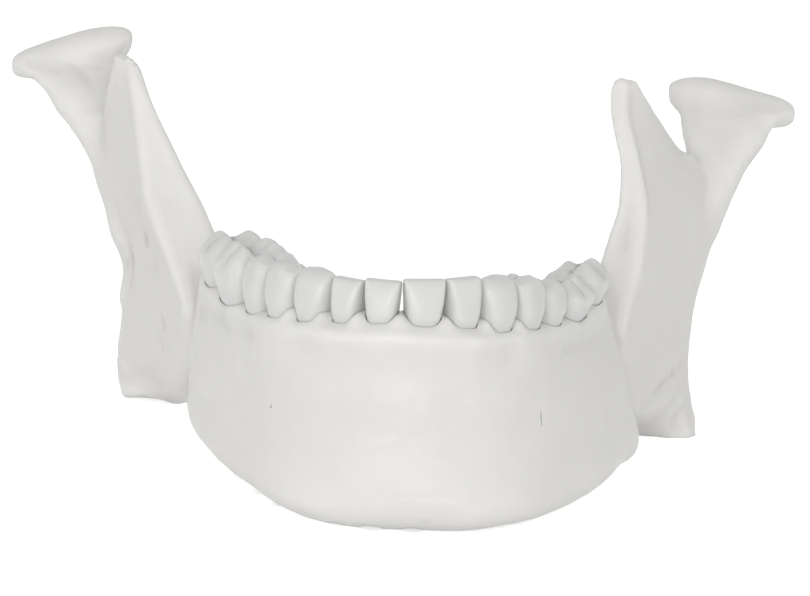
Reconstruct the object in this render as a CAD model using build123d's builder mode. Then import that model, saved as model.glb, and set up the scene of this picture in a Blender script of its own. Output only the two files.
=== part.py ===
from build123d import *
import os
from math import cos, exp, radians, sin

os.makedirs("parts", exist_ok=True)

# A life-size lower jaw for dental training, with fourteen teeth that pull out of their sockets.
# Frame: +Z up, the teeth face -Y, and +X is the jaw's left side, on the right as it faces you.
# The origin is the middle of the flat that the chin rests on. All sizes are millimetres.

# ---- Driving sizes -----------------------------------------------------------------------
row_centre = 1.0          # how far the middle of the tooth row lies from the chin's middle plane
front_crest = 31.2        # height of the bone edge at the front teeth
back_crest = 27.2         # height of the bone edge at the last molar
crest_fade = 12.0         # distance over which the edge drops from one height to the other
base_lean = 3.0           # sideways lean of the outer wall, from the bone edge down to the base

shank_fit = 0.15          # gap between a tooth and its socket, all round
tooth_gap = 0.20          # gap between two neighbouring crowns
seat_depth = 0.7          # how far a crown sits below the bone edge

screw_shank_d = 1.6
screw_head_d = 3.0
screw_head_h = 1.2
screw_length = 9.0        # under the head
screw_gap = 0.15          # round the shank, in the jaw and in the tooth
driver_gap = 0.20         # round the head, in its channel
screw_ledge = 3.5         # jaw left between the screw's head and the socket floor
screw_end_gap = 0.6       # bore left in the tooth past the screw's end
shank_wall = 0.5          # least wall round that bore
slot_width = 0.6
slot_depth = 0.5

# The line that the tooth axes stand on, from the middle back to the last molar: (x, y).
tooth_row_half = ((5.5, -0.8), (10.7, 2.6), (15.6, 8.2), (19.6, 15.6), (24.2, 29.0), (27.6, 44.0))
tooth_row_front = (0.0, -2.0)

# name, (width right, left), depth, (crown height right, left), shank length, and the width and
# depth at the top as shares
teeth = (
    ("central_incisor", (5.2, 6.0), 5.8, (7.2, 7.6), 11.0, (0.97, 0.34)),
    ("lateral_incisor", (4.8, 5.5), 6.0, (7.3, 8.3), 11.0, (0.97, 0.34)),
    ("canine", (6.5, 6.7), 7.2, (8.7, 8.9), 11.5, (0.45, 0.34)),
    ("first_premolar", (6.9, 7.0), 7.4, (8.8, 8.6), 11.0, (0.62, 0.58)),
    ("second_premolar", (7.0, 7.1), 8.0, (8.9, 7.2), 11.0, (0.68, 0.62)),
    ("first_molar", (10.9, 11.0), 10.0, (9.2, 6.3), 10.0, (0.80, 0.72)),
    ("second_molar", (10.4, 10.5), 9.8, (8.5, 6.8), 9.5, (0.80, 0.72)),
)
neck_share = 0.80         # width and depth at the neck, of the crown's
shank_end_share = 0.66    # the same at the shank's end
belly_height = 0.42       # height of the widest part, of the crown's
belly_forward = 0.04      # how far the widest part stands towards the lip, of the depth
top_forward = 0.06        # how far the top stands towards the lip, of the depth
shank_corner = 0.42       # corner radius of the shank and crown slices, of their shorter side

# The body of the jaw, as upright slices square to the arch, from the middle backwards.
# Each is (x, y, turn, base height, (outer base, middle, top), (inner base, middle, top)); its
# widths run outwards and inwards from the line of the teeth.
body_slices = (
    (0.0, -2.0, 0, 0.0, (4.8, 4.2, 5.4), (7.0, 6.5, 4.4)),
    (8.0, 0.4, 27, 0.0, (6.2, 4.4, 5.4), (7.0, 6.5, 4.6)),
    (13.6, 5.4, 45, 0.2, (6.8, 5.0, 5.0), (6.5, 6.2, 4.8)),
    (18.0, 12.0, 60, 0.8, (6.4, 5.4, 4.8), (6.0, 6.0, 5.0)),
    (22.8, 23.5, 72, 1.4, (7.5, 6.3, 5.2), (5.2, 5.6, 5.4)),
    (26.2, 37.0, 77, 2.2, (7.6, 6.6, 5.4), (4.8, 5.2, 5.4)),
    (29.4, 48.0, 72, 3.2, (2.4, 3.4, 2.4), (4.2, 4.6, 3.2)),
)
body_end_x = (33.4, 36.6)  # the body's ends, hidden inside the right and the left ramus
body_end = (58.0, 62, 6.0, (1.8, 1.8, 1.8), (1.8, 1.8, 1.8))
body_end_top = 16.0
under_round = 4.2         # roundness under the base
crest_round = 1.8         # roundness at the bone edge
wall_step = 4.2           # height over which those corners turn
round_limit = 0.3         # most that a corner's roundness takes of a narrow slice's width

# The rami, as level slices. Each is (height, plate thickness, front ridge, inner crest, back
# edge), and the last three are (y, x on the right side of the jaw, x on the left side).
ramus_slices = (
    (-1.5, 5.0, (63.5, -37.2, 43.0), (64.0, -33.4, 39.2), (69.8, -41.4, 47.4)),
    (2.0, 5.4, (57.5, -33.8, 40.2), (58.5, -29.2, 36.0), (71.6, -42.8, 47.4)),
    (6.0, 5.8, (50.0, -32.2, 38.4), (52.0, -27.0, 33.6), (73.0, -43.2, 46.2)),
    (12.0, 6.0, (45.5, -32.2, 37.4), (48.0, -26.6, 32.0), (74.6, -43.0, 45.6)),
    (20.0, 6.0, (46.0, -33.0, 36.6), (48.0, -26.4, 31.4), (77.2, -43.2, 46.4)),
    (27.0, 5.8, (51.5, -36.0, 38.1), (51.0, -28.0, 33.0), (80.2, -45.0, 47.8)),
    (33.5, 5.4, (56.5, -39.0, 38.9), (55.8, -31.4, 34.2), (82.2, -46.6, 48.2)),
    (38.5, 4.8, (59.5, -40.4, 38.5), (59.0, -34.8, 35.3), (81.6, -47.2, 45.8)),
    (43.5, 4.2, (62.0, -41.2, 37.2), (61.4, -37.6, 34.8), (78.4, -46.8, 41.8)),
    (49.0, 3.6, (64.6, -41.9, 35.1), (63.8, -40.4, 33.0), (74.8, -45.6, 38.6)),
    (53.0, 2.8, (66.4, -42.6, 34.2), (66.0, -41.4, 32.4), (71.8, -44.4, 36.2)),
    (55.4, 1.6, (67.6, -43.2, 34.0), (67.5, -42.4, 33.0), (69.8, -43.9, 35.2)),
)
side_set_back = (2.0, -1.0)   # how much further back the right and the left ramus stand
plate_middle = 0.45       # where along a slice the plate thickness is measured
plate_back = 0.85         # where the back edge starts to round

# The neck of each condyle, as level ellipses: (height, (x on the right side, x on the left
# side), y, half width, half depth).
neck_slices = (
    (14.0, (-41.2, 43.4), 72.4, 2.4, 3.2),
    (20.0, (-41.6, 43.9), 74.2, 2.9, 3.9),
    (26.6, (-43.0, 45.6), 77.4, 3.4, 4.5),
    (33.2, (-45.4, 48.0), 80.8, 3.9, 4.7),
    (39.6, (-48.6, 50.2), 85.4, 5.0, 4.6),
    (43.8, (-51.0, 51.1), 89.4, 7.2, 4.2),
    (47.4, (-54.0, 52.1), 93.0, 9.2, 3.7),
)
condyle_y = 95.0
condyle_poles = (          # outer x and height, inner x and height of the head's axis, per side
    ((-63.4, 46.7), (-44.8, 51.8)),
    ((62.2, 45.7), (41.8, 48.5)),
)
condyle_head = (           # (share of the way inwards, half depth, half height)
    (0.02, 1.6, 1.3),
    (0.14, 3.2, 2.5),
    (0.38, 4.3, 3.3),
    (0.66, 4.4, 3.6),
    (0.88, 3.6, 3.0),
    (0.99, 2.0, 1.7),
)

# ---- Worked-out sizes --------------------------------------------------------------------
sides = (("right", -1), ("left", 1))
screw_hole_d = screw_shank_d + 2 * screw_gap
channel_d = screw_head_d + 2 * driver_gap
screw_reach = screw_length - screw_ledge - shank_fit + screw_end_gap
cut_margin = 2.0          # how far a cutter runs past the face that it opens


def crest_height(y):
    """Height of the bone edge: it drops fast behind the front teeth, then levels out."""
    return back_crest + (front_crest - back_crest) * exp((tooth_row_front[1] - y) / crest_fade)


# ---- The lower jaw -----------------------------------------------------------------------
def body_slice(entry, side, top, base_lean=base_lean):
    """One closed upright slice of the body, square to the arch."""
    x, y, turn, base, outer, inner = entry
    across = side * sin(radians(turn))
    middle = (base + top) / 2

    def wall(width, height):
        lean = base_lean * across * (1 - height / top)
        return (width + lean, height)

    under = min(under_round, round_limit * (outer[0] + inner[0]))
    shoulder = min(crest_round, round_limit * (outer[2] + inner[2]))
    outline = (
        (under - inner[0], base),
        (wall(outer[0], base)[0] - under, base),
        wall(outer[0], base + wall_step),
        wall(outer[1], middle),
        wall(outer[2], top - wall_step),
        (outer[2] - shoulder, top),
        (shoulder - inner[2], top),
        (-inner[2], top - wall_step),
        (-inner[1], middle),
        (-inner[0], base + wall_step),
    )
    plane = Plane(
        origin=(row_centre + side * x, y, 0),
        x_dir=(across, -cos(radians(turn)), 0),
        z_dir=(-cos(radians(turn)), -across, 0),
    )
    with BuildSketch(plane) as sketch:
        with BuildLine():
            Spline(*outline, periodic=True)
        make_face()
    return sketch.sketch


def ramus_slice(entry, side_index, side):
    """One closed level slice of the upright plate: blunt in front, rounded behind."""
    height, thickness, ridge, crest, back = entry
    set_back = side_set_back[side_index]
    ridge_point = Vector(ridge[1 + side_index], ridge[0] + set_back)
    crest_point = Vector(crest[1 + side_index], crest[0] + set_back)
    back_point = Vector(back[1 + side_index], back[0] + set_back)
    front_point = (ridge_point + crest_point) * 0.5
    along = back_point - front_point
    outwards = Vector(along.Y, -along.X).normalized() * side

    def skin(share, half):
        return front_point + along * share + outwards * half

    half = thickness / 2
    outline = (
        ridge_point,
        skin(plate_middle, half),
        skin(plate_back, half),
        back_point,
        skin(plate_back, -half),
        skin(plate_middle, -half),
        crest_point,
    )
    with BuildSketch(Plane.XY.offset(height)) as sketch:
        with BuildLine():
            Spline(*outline, periodic=True)
        make_face()
    return sketch.sketch


def neck_slice(entry, side_index):
    """One level ellipse of a condyle's neck."""
    height, neck_x, neck_y, half_width, half_depth = entry
    neck_place = (neck_x[side_index], neck_y + side_set_back[side_index], height)
    with BuildSketch(Plane(neck_place)) as sketch:
        Ellipse(half_width, half_depth)
    return sketch.sketch


def head_slice(entry, side_index):
    """One ellipse of a condyle's head, square to the head's own axis."""
    share, half_depth, half_height = entry
    outer_pole, inner_pole = condyle_poles[side_index]
    x = outer_pole[0] + share * (inner_pole[0] - outer_pole[0])
    height = outer_pole[1] + share * (inner_pole[1] - outer_pole[1])
    y = condyle_y + side_set_back[side_index]
    plane = Plane(origin=(x, y, height), x_dir=(0, 1, 0), z_dir=(1, 0, 0))
    with BuildSketch(plane) as sketch:
        Ellipse(half_depth, half_height)
    return sketch.sketch


def body_stations(side_index, side):
    """The slices of one half of the body, from the front tooth back to the ramus."""
    half = [body_slice(entry, side, crest_height(entry[1])) for entry in body_slices[1:]]
    half.append(body_slice((body_end_x[side_index], *body_end), side, body_end_top, 0))
    return half


front_slice = body_slice(body_slices[0], 1, crest_height(body_slices[0][1]))
right_stations, left_stations = (body_stations(i, side) for i, (_, side) in enumerate(sides))

with BuildPart() as mandible:
    loft([*reversed(right_stations), front_slice, *left_stations])
    for side_index, (side_name, side) in enumerate(sides):
        loft([ramus_slice(entry, side_index, side) for entry in ramus_slices])
        loft([neck_slice(entry, side_index) for entry in neck_slices])
        loft([head_slice(entry, side_index) for entry in condyle_head])
    split(bisect_by=Plane.XY, keep=Keep.TOP)
print("jaw before its sockets:", round(mandible.part.volume), "mm3")


# ---- The teeth, their sockets and their screws ------------------------------------------
with BuildLine() as tooth_row:
    right_row = [(row_centre - x, y) for x, y in reversed(tooth_row_half)]
    left_row = [(row_centre + x, y) for x, y in tooth_row_half]
    Spline(*right_row, (row_centre, tooth_row_front[1]), *left_row)
row_edge = tooth_row.edge()
row_middle = row_edge.length / 2


def tooth_loft(sizes):
    """A solid through rounded oblongs: each is (height, width, depth, shift towards the lip)."""
    sections = []
    for height, width, depth, shift in sizes:
        with BuildSketch(Plane.XY.offset(height)) as sketch:
            with Locations((0, -shift)):
                RectangleRounded(width, depth, shank_corner * min(width, depth))
        sections.append(sketch.sketch)
    with BuildPart(mode=Mode.PRIVATE) as form:
        loft(sections, ruled=True)
    return form.part


def tooth_solids(width, depth, crown_height, shank_length, top_share):
    """A tooth with its neck at the origin, and the cutter that leaves its socket in the jaw."""
    neck = (0, neck_share * width, neck_share * depth, 0)
    belly = (belly_height * crown_height, width, depth, belly_forward * depth)
    top_width, top_depth = top_share[0] * width, top_share[1] * depth
    top = (crown_height, top_width, top_depth, top_forward * depth)
    end_width = max(shank_end_share * width, screw_hole_d + 2 * shank_wall)
    end = (-shank_length, end_width, shank_end_share * depth, 0)
    with BuildPart() as tooth:
        add(tooth_loft([end, neck]))
        add(tooth_loft([neck, belly, top]))
        with Locations(Plane((0, 0, -shank_length), z_dir=(0, 0, -1))):
            Hole(screw_hole_d / 2, depth=screw_reach)

    def grown(size, deeper=0):
        height, size_x, size_y, shift = size
        return (height - deeper, size_x + 2 * shank_fit, size_y + 2 * shank_fit, shift)

    with BuildPart() as cutter:
        add(tooth_loft([grown(end, shank_fit), grown(neck)]))
        add(tooth_loft([grown(neck), grown(belly)]))
        with BuildSketch(Plane.XY.offset(belly[0])) as mouth:
            with Locations((0, -belly[3])):
                RectangleRounded(
                    belly[1] + 2 * shank_fit, belly[2] + 2 * shank_fit,
                    shank_corner * min(belly[1:3]) + shank_fit,
                )
        extrude(amount=crown_height)
    return tooth.part, cutter.part


screws = []
placed = []
for side_index, (side_name, side) in enumerate(sides):
    reach = 0
    for name, widths, depth, crown_heights, shank_length, top_share in teeth:
        width = widths[side_index]
        crown_height = crown_heights[side_index]
        reach += tooth_gap / 2 + width / 2
        along = row_middle + side * reach
        spot = row_edge.position_at(along, position_mode=PositionMode.LENGTH)
        heading = row_edge.tangent_at(along, position_mode=PositionMode.LENGTH)
        neck_height = crest_height(spot.Y) - seat_depth
        plane = Plane((spot.X, spot.Y, neck_height), x_dir=heading, z_dir=(0, 0, 1))
        reach += width / 2 + tooth_gap / 2
        tooth, cutter = tooth_solids(width, depth, crown_height, shank_length, top_share)
        ledge_top = neck_height - shank_length - shank_fit
        seat = ledge_top - screw_ledge
        placed.append((side_name + "_" + name, plane.location * tooth))
        with BuildPart(mode=Mode.PRIVATE) as bore:
            with BuildSketch(Plane((spot.X, spot.Y, -cut_margin))):
                Circle(channel_d / 2)
            extrude(amount=seat + cut_margin)
            with BuildSketch(Plane((spot.X, spot.Y, seat))):
                Circle(screw_hole_d / 2)
            extrude(amount=screw_ledge + shank_fit)
        with mandible:
            add(plane.location * cutter, mode=Mode.SUBTRACT)
            add(bore.part, mode=Mode.SUBTRACT)
        with BuildPart(Plane((spot.X, spot.Y, seat), z_dir=(0, 0, 1))) as screw:
            Cylinder(screw_shank_d / 2, screw_length, align=(Align.CENTER, Align.CENTER, Align.MIN))
            with Locations((0, 0, -screw_head_h)):
                Cylinder(screw_head_d / 2, screw_head_h, align=(Align.CENTER, Align.CENTER, Align.MIN))
                Box(
                    screw_head_d, slot_width, slot_depth,
                    align=(Align.CENTER, Align.CENTER, Align.MIN), mode=Mode.SUBTRACT,
                )
        screws.append(screw.part)
        print(side_name, name, "at", round(spot.X, 2), round(spot.Y, 2), round(neck_height, 2))

for name, tooth in placed:
    tooth.label = name
    export_step(tooth, "parts/" + name + ".step")

mandible.part.label = "mandible"
export_step(mandible.part, "parts/mandible.step")
tooth_screws = Compound(label="tooth_screws", children=screws)
export_step(tooth_screws, "parts/tooth_screws.step")
print("jaw:", round(mandible.part.volume), "mm3,", mandible.part.bounding_box())
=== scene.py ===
# %% [markdown]
# # A lower jaw for dental training, with fourteen teeth that pull out
# The model is one casting of off-white satin plastic, the jaw, with fourteen plastic teeth in their
# own sockets, each held from below by a small steel screw.
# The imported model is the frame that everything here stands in, and it is loaded first. The teeth,
# their sockets and the screws take their places from it. The jaw is built from stations of its own,
# in the same axes.

# %% Load the frame
from math import cos, pi, radians, sin

import bpy
import numpy as np
from mathutils import Matrix, Vector


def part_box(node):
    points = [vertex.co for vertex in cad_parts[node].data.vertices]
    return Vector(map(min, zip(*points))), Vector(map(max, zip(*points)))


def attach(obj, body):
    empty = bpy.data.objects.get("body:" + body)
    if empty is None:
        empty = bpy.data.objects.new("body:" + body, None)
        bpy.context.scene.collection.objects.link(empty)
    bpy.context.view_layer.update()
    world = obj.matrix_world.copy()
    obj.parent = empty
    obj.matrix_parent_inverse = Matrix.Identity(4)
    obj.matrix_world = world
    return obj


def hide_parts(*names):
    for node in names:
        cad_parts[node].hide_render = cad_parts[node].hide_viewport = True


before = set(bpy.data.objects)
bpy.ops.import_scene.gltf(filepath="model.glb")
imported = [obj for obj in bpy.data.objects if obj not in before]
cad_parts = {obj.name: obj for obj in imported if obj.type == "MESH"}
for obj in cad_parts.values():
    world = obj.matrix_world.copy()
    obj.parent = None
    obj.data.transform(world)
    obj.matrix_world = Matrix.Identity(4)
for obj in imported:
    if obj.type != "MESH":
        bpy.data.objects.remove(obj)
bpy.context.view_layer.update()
MM = 0.001

# %% [markdown]
# ## Helpers for surfaces
# Each surface is a grid: rings of points, one after the other. A learner could push vertices about
# by hand, but a grid worked out from a few stations keeps its shape in numbers that can be read and
# changed. Rings are joined by quads, and each end is closed by a fan of triangles.

# %% A smooth curve through stations
def through(stations, steps, closed=False):
    """Rows on a smooth curve through the stations, steps rows for each gap. Each gap is a cubic that
    leaves a station along half the chord between its two neighbours (a Catmull-Rom curve)."""
    rows = np.asarray(stations, float)
    if closed:
        rows = np.concatenate([rows[-1:], rows, rows[:2]])
    else:
        rows = np.concatenate([2 * rows[:1] - rows[1:2], rows, 2 * rows[-1:] - rows[-2:-1]])
    before, start, end, after = (rows[i : len(rows) - 3 + i, None] for i in range(4))
    t = (np.arange(steps) / steps).reshape(1, steps, *[1] * (rows.ndim - 1))
    curve = start + 0.5 * t * (
        (end - before)
        + t * (2 * before - 5 * start + 4 * end - after)
        + t * t * (3 * (start - end) + after - before)
    )
    curve = curve.reshape(-1, *rows.shape[1:])
    return curve if closed else np.concatenate([curve, rows[-2:-1]])


print("a bend through three corners has", len(through([(0, 0), (1, 0), (1, 1)], 4)), "points")

# %% Rings of points to a closed mesh
def skin(rings):
    """Points and faces of the closed surface over rings (count, points in a ring, 3). Its signed
    volume, a sixth of the sum of each triangle's triple product, says if it must be turned."""
    count, around, _ = rings.shape
    points = np.concatenate([rings.reshape(-1, 3), rings[:1].mean(axis=1), rings[-1:].mean(axis=1)])
    index = np.arange(count * around).reshape(count, around)
    after = np.roll(index, -1, axis=1)
    quads = np.stack([index[:-1], after[:-1], after[1:], index[1:]], axis=-1).reshape(-1, 4)
    first, last = len(points) - 2, len(points) - 1
    start_fan = np.stack([np.full(around, first), after[0], index[0]], axis=1)
    end_fan = np.stack([np.full(around, last), index[-1], after[-1]], axis=1)
    triangles = np.concatenate([quads[:, :3], quads[:, [0, 2, 3]], start_fan, end_fan])
    a, b, c = (points[triangles[:, i]] for i in range(3))
    faces = quads.tolist() + start_fan.tolist() + end_fan.tolist()
    if (a * np.cross(b, c)).sum() < 0:
        faces = [face[::-1] for face in faces]
    return points, faces


def join_skins(skins):
    """Several closed surfaces as one list of points and one of faces."""
    starts = np.cumsum([0] + [len(points) for points, _ in skins])
    faces = [[i + start for i in face] for (_, more), start in zip(skins, starts) for face in more]
    return np.concatenate([points for points, _ in skins]), faces


def mesh_object(name, points, faces):
    """A new object at the origin whose mesh holds the points, given in millimetres."""
    mesh = bpy.data.meshes.new(name)
    mesh.from_pydata((np.asarray(points) * MM).tolist(), [], faces)
    mesh.update()
    made = bpy.data.objects.new(name, mesh)
    bpy.context.scene.collection.objects.link(made)
    return made


def read_points(thing):
    """The object's points in millimetres."""
    flat = np.empty(len(thing.data.vertices) * 3)
    thing.data.vertices.foreach_get("co", flat)
    return flat.reshape(-1, 3) / MM


def write_points(thing, points):
    thing.data.vertices.foreach_set("co", (points * MM).ravel())
    thing.data.update()


def read_normals(thing):
    flat = np.empty(len(thing.data.vertices) * 3)
    thing.data.vertex_normals.foreach_get("vector", flat)
    return flat.reshape(-1, 3)


def read_edges(thing):
    flat = np.empty(len(thing.data.edges) * 2, np.int32)
    thing.data.edges.foreach_get("vertices", flat)
    return flat.reshape(-1, 2)


def finish_modifiers(thing):
    """Replaces the object's mesh by what its modifiers make of it."""
    graph = bpy.context.evaluated_depsgraph_get()
    mesh = bpy.data.meshes.new_from_object(thing.evaluated_get(graph))
    thing.modifiers.clear()
    thing.data = mesh


def cut(thing, cutter):
    """Takes the cutter's volume out of the object, and removes the cutter."""
    boolean = thing.modifiers.new("cut", "BOOLEAN")
    boolean.object = cutter
    boolean.operation = "DIFFERENCE"
    boolean.solver = "MANIFOLD"
    finish_modifiers(thing)
    bpy.data.objects.remove(cutter)


def set_shading(thing, crease_angle):
    """Smooth shading, with a crease wherever two faces meet at more than the angle."""
    thing.data.shade_smooth()
    thing.data.set_sharp_from_angle(angle=radians(crease_angle))


print("surface helpers ready")

# %% [markdown]
# ## The rough jaw
# Inside the one casting are simple forms: a horseshoe body, two upright plates (the rami), and on
# each a neck with a head (the condyle) lying across it. Each form is a loft: a few outlines at
# stations along it, with every row between them on a smooth curve. Left and right differ a little,
# as on a real jaw, so most stations give both sides.

# %% Sizes of the horseshoe body
SIDES = (("right", -1), ("left", 1))
ROW_CENTRE = 1.0          # the tooth row's middle, from the chin's middle plane
FRONT_CREST, BACK_CREST, CREST_FADE = 31.2, 27.2, 12.0
FRONT_TOOTH_Y = -2.0
BASE_LEAN = 3.0           # sideways lean of the outer wall towards the base
UNDER_ROUND, CREST_ROUND, WALL_STEP = 4.2, 1.6, 4.2
ROUND_LIMIT = 0.3

# x, y, turn, base height, outer widths at base, middle and top, and the inner ones
BODY_FRONT = (0.0, -2.0, 0, -0.3, (4.8, 4.2, 5.3), (7.0, 6.5, 4.4))
BODY_SLICES = (
    (8.0, 0.4, 27, -0.2, (6.2, 4.4, 5.3), (7.0, 6.5, 4.6)),
    (13.6, 5.4, 45, -0.1, (6.8, 5.0, 5.0), (6.5, 6.2, 4.8)),
    (18.0, 12.0, 60, 0.4, (6.6, 5.5, 4.7), (6.0, 6.0, 5.0)),
    (22.8, 23.5, 72, 1.1, (7.7, 6.4, 5.0), (5.2, 5.6, 5.4)),
    (26.2, 37.0, 77, 2.2, (7.8, 6.6, 5.3), (4.8, 5.2, 5.4)),
    (29.4, 48.0, 72, 3.2, (2.4, 3.4, 2.4), (4.2, 4.6, 3.2)),
)
BODY_END_X = (33.4, 36.6)
BODY_END = (58.0, 62, 6.0, (1.8, 1.8, 1.8), (1.8, 1.8, 1.8))
BODY_END_TOP = 16.0
BODY_AROUND, BODY_ALONG = 10, 10      # rows for each gap between two stations


def crest_height(y):
    """The bone edge falls from the front height to the back height as e to the power of minus the
    distance behind the front tooth, over the fade length."""
    return BACK_CREST + (FRONT_CREST - BACK_CREST) * np.exp((FRONT_TOOTH_Y - y) / CREST_FADE)


def body_ring(entry, side, top, lean=BASE_LEAN):
    """One upright outline of the body, square to the arch: out along (sin turn, -cos turn), up along
    z. The outer wall leans by the lean times sin turn, less and less towards the top."""
    x, y, turn, base, outer, inner = entry
    across, ahead = side * sin(radians(turn)), cos(radians(turn))
    middle = (base + top) / 2
    under = min(UNDER_ROUND, ROUND_LIMIT * (outer[0] + inner[0]))
    shoulder = min(CREST_ROUND, ROUND_LIMIT * (outer[2] + inner[2]))
    heights = np.array([base, base + WALL_STEP, middle, top - WALL_STEP])
    widths = np.array([outer[0], outer[0], outer[1], outer[2]])
    widths = widths + lean * across * (1 - heights / top)
    outline = [
        (under - inner[0], base),
        (widths[0] - under, base),
        *zip(widths[1:], heights[1:]),
        (outer[2] - shoulder, top),
        (shoulder - inner[2], top),
        (-inner[2], top - WALL_STEP),
        (-inner[1], middle),
        (-inner[0], base + WALL_STEP),
    ]
    out, up = through(outline, BODY_AROUND, closed=True).T
    return np.stack([ROW_CENTRE + side * x + out * across, y - out * ahead, up], axis=1)


def body_rings():
    """Rings from the right end, round the chin, to the left end."""
    halves = []
    for index, (_, side) in enumerate(SIDES):
        half = [body_ring(entry, side, crest_height(entry[1])) for entry in BODY_SLICES]
        half.append(body_ring((BODY_END_X[index], *BODY_END), side, BODY_END_TOP, 0))
        halves.append(half)
    front = body_ring(BODY_FRONT, 1, crest_height(BODY_FRONT[1]))
    return through([*halves[0][::-1], front, *halves[1]], BODY_ALONG)


body = body_rings()
print("body grid:", body.shape, "from x", body[..., 0].min().round(1), "to", body[..., 0].max().round(1))

# %% Sizes of the upright plates
# height, plate thickness, then front ridge, inner crest and back edge as (y, x right, x left)
RAMUS_SLICES = (
    (-1.5, 5.0, (63.5, -37.2, 43.0), (64.0, -33.4, 39.2), (69.8, -41.2, 47.0)),
    (2.0, 5.4, (57.5, -33.8, 40.2), (58.5, -29.2, 36.0), (71.6, -42.3, 46.9)),
    (6.0, 5.8, (50.0, -32.2, 38.4), (52.0, -27.0, 33.4), (73.0, -42.5, 45.7)),
    (12.0, 6.0, (45.5, -31.8, 35.8), (48.0, -26.4, 31.6), (74.6, -42.0, 45.2)),
    (20.0, 6.0, (46.0, -32.0, 34.5), (47.6, -25.8, 29.9), (77.2, -41.7, 46.4)),
    (27.0, 5.8, (51.5, -35.3, 36.7), (50.6, -26.7, 30.6), (80.2, -43.7, 48.0)),
    (33.5, 5.4, (56.5, -38.7, 37.7), (55.2, -30.1, 32.2), (82.2, -45.8, 48.0)),
    (38.5, 4.8, (59.5, -40.1, 37.2), (58.6, -33.4, 33.7), (82.4, -46.8, 46.2)),
    (43.5, 4.3, (62.0, -41.0, 36.0), (61.2, -36.6, 33.6), (79.4, -46.6, 42.0)),
    (49.0, 3.8, (64.6, -42.2, 34.7), (63.8, -39.8, 32.2), (74.8, -45.7, 38.4)),
    (53.0, 3.2, (66.4, -43.1, 33.6), (66.0, -41.9, 31.6), (71.8, -44.9, 36.2)),
    (55.4, 2.2, (67.6, -44.2, 33.4), (67.5, -43.4, 32.2), (69.9, -44.9, 35.2)),
)
SET_BACK = (2.0, -1.0)    # how much further back the right and the left plate stand
PLATE_MIDDLE, PLATE_BACK = 0.45, 0.85
PLATE_AROUND, PLATE_UP, NECK_UP, HEAD_ALONG = 12, 6, 6, 6


def ramus_rings(index, side):
    """Level rings of one plate: blunt in front between ridge and crest, rounded at the back edge."""
    rings = []
    for height, thickness, ridge, crest, back in RAMUS_SLICES:
        ridge, crest, back = (
            np.array([place[1 + index], place[0] + SET_BACK[index]]) for place in (ridge, crest, back)
        )
        front = (ridge + crest) / 2
        along = back - front
        outwards = side * np.array([along[1], -along[0]]) / np.hypot(*along) * thickness / 2
        outline = [
            ridge,
            front + along * PLATE_MIDDLE + outwards,
            front + along * PLATE_BACK + outwards,
            back,
            front + along * PLATE_BACK - outwards,
            front + along * PLATE_MIDDLE - outwards,
            crest,
        ]
        level = through(outline, PLATE_AROUND, closed=True)
        rings.append(np.column_stack([level, np.full(len(level), height)]))
    return through(rings, PLATE_UP)


# height, (x right, x left), y, half width, half depth
NECK_SLICES = (
    (14.0, (-41.2, 43.4), 72.4, 2.4, 3.2),
    (20.0, (-41.6, 43.9), 74.2, 2.9, 3.9),
    (26.6, (-43.0, 45.6), 77.4, 3.4, 4.5),
    (33.2, (-44.7, 47.6), 80.8, 3.3, 4.7),
    (39.6, (-47.7, 49.3), 85.2, 4.6, 4.7),
    (43.8, (-50.2, 50.6), 89.2, 7.0, 4.3),
    (47.4, (-53.6, 52.0), 92.8, 9.3, 3.8),
)
CONDYLE_Y = 95.0
CONDYLE_POLES = (((-63.9, 46.5), (-44.1, 51.8)), ((62.5, 45.9), (41.5, 48.5)))
# share of the way inwards, half depth, half height
CONDYLE_HEAD = (
    (0.01, 1.9, 1.6),
    (0.12, 3.3, 2.5),
    (0.38, 4.3, 3.1),
    (0.66, 4.4, 3.6),
    (0.88, 3.6, 3.0),
    (0.99, 2.0, 1.7),
)
ROUND = np.linspace(0, 2 * pi, 48, endpoint=False)


def neck_rings(index):
    """Level ellipses that climb from the plate's back edge to the head."""
    height, right, left, y, half_width, half_depth = through(
        [(h, *xs, y, w, d) for h, xs, y, w, d in NECK_SLICES], NECK_UP
    ).T[:, :, None]
    x = (right, left)[index] + half_width * np.cos(ROUND)
    depth = y + SET_BACK[index] + half_depth * np.sin(ROUND)
    return np.stack([x, depth, height + 0 * x], axis=-1)


def head_rings(index):
    """Upright ellipses along the head's own axis, from the outer pole to the inner one."""
    share, half_depth, half_height = through(CONDYLE_HEAD, HEAD_ALONG).T[:, :, None]
    outer, inner = CONDYLE_POLES[index]
    depth = CONDYLE_Y + SET_BACK[index] + half_depth * np.cos(ROUND)
    height = outer[1] + share * (inner[1] - outer[1]) + half_height * np.sin(ROUND)
    return np.stack([outer[0] + share * (inner[0] - outer[0]) + 0 * depth, depth, height], axis=-1)


plates = [ramus_rings(index, side) for index, (_, side) in enumerate(SIDES)]
print("plate grid:", plates[0].shape)

# %% [markdown]
# ## One casting
# The forms overlap, and the casting has one skin. A boolean union would leave hard creases where
# they meet. A voxel remesh lays one even net over them all instead, in squares of about half a
# millimetre, which can then be smoothed and modelled like clay. The smoothing moves each point
# towards the middle of its neighbours, and then a little back, so that the form keeps its size.

# %% Join, remesh and relax
VOXEL = 0.55
RELAX_ROUNDS = 14
PATH_STEPS = 24           # spots on a path for each gap between its corners

forms = [skin(body)]
for index in range(2):
    forms += [skin(plates[index]), skin(neck_rings(index)), skin(head_rings(index))]
jaw = mesh_object("jaw_casting", *join_skins(forms))
remesh = jaw.modifiers.new("one skin", "REMESH")
remesh.mode = "VOXEL"
remesh.voxel_size = VOXEL * MM
finish_modifiers(jaw)
jaw_points = read_points(jaw)
jaw_edges = read_edges(jaw)


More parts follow.
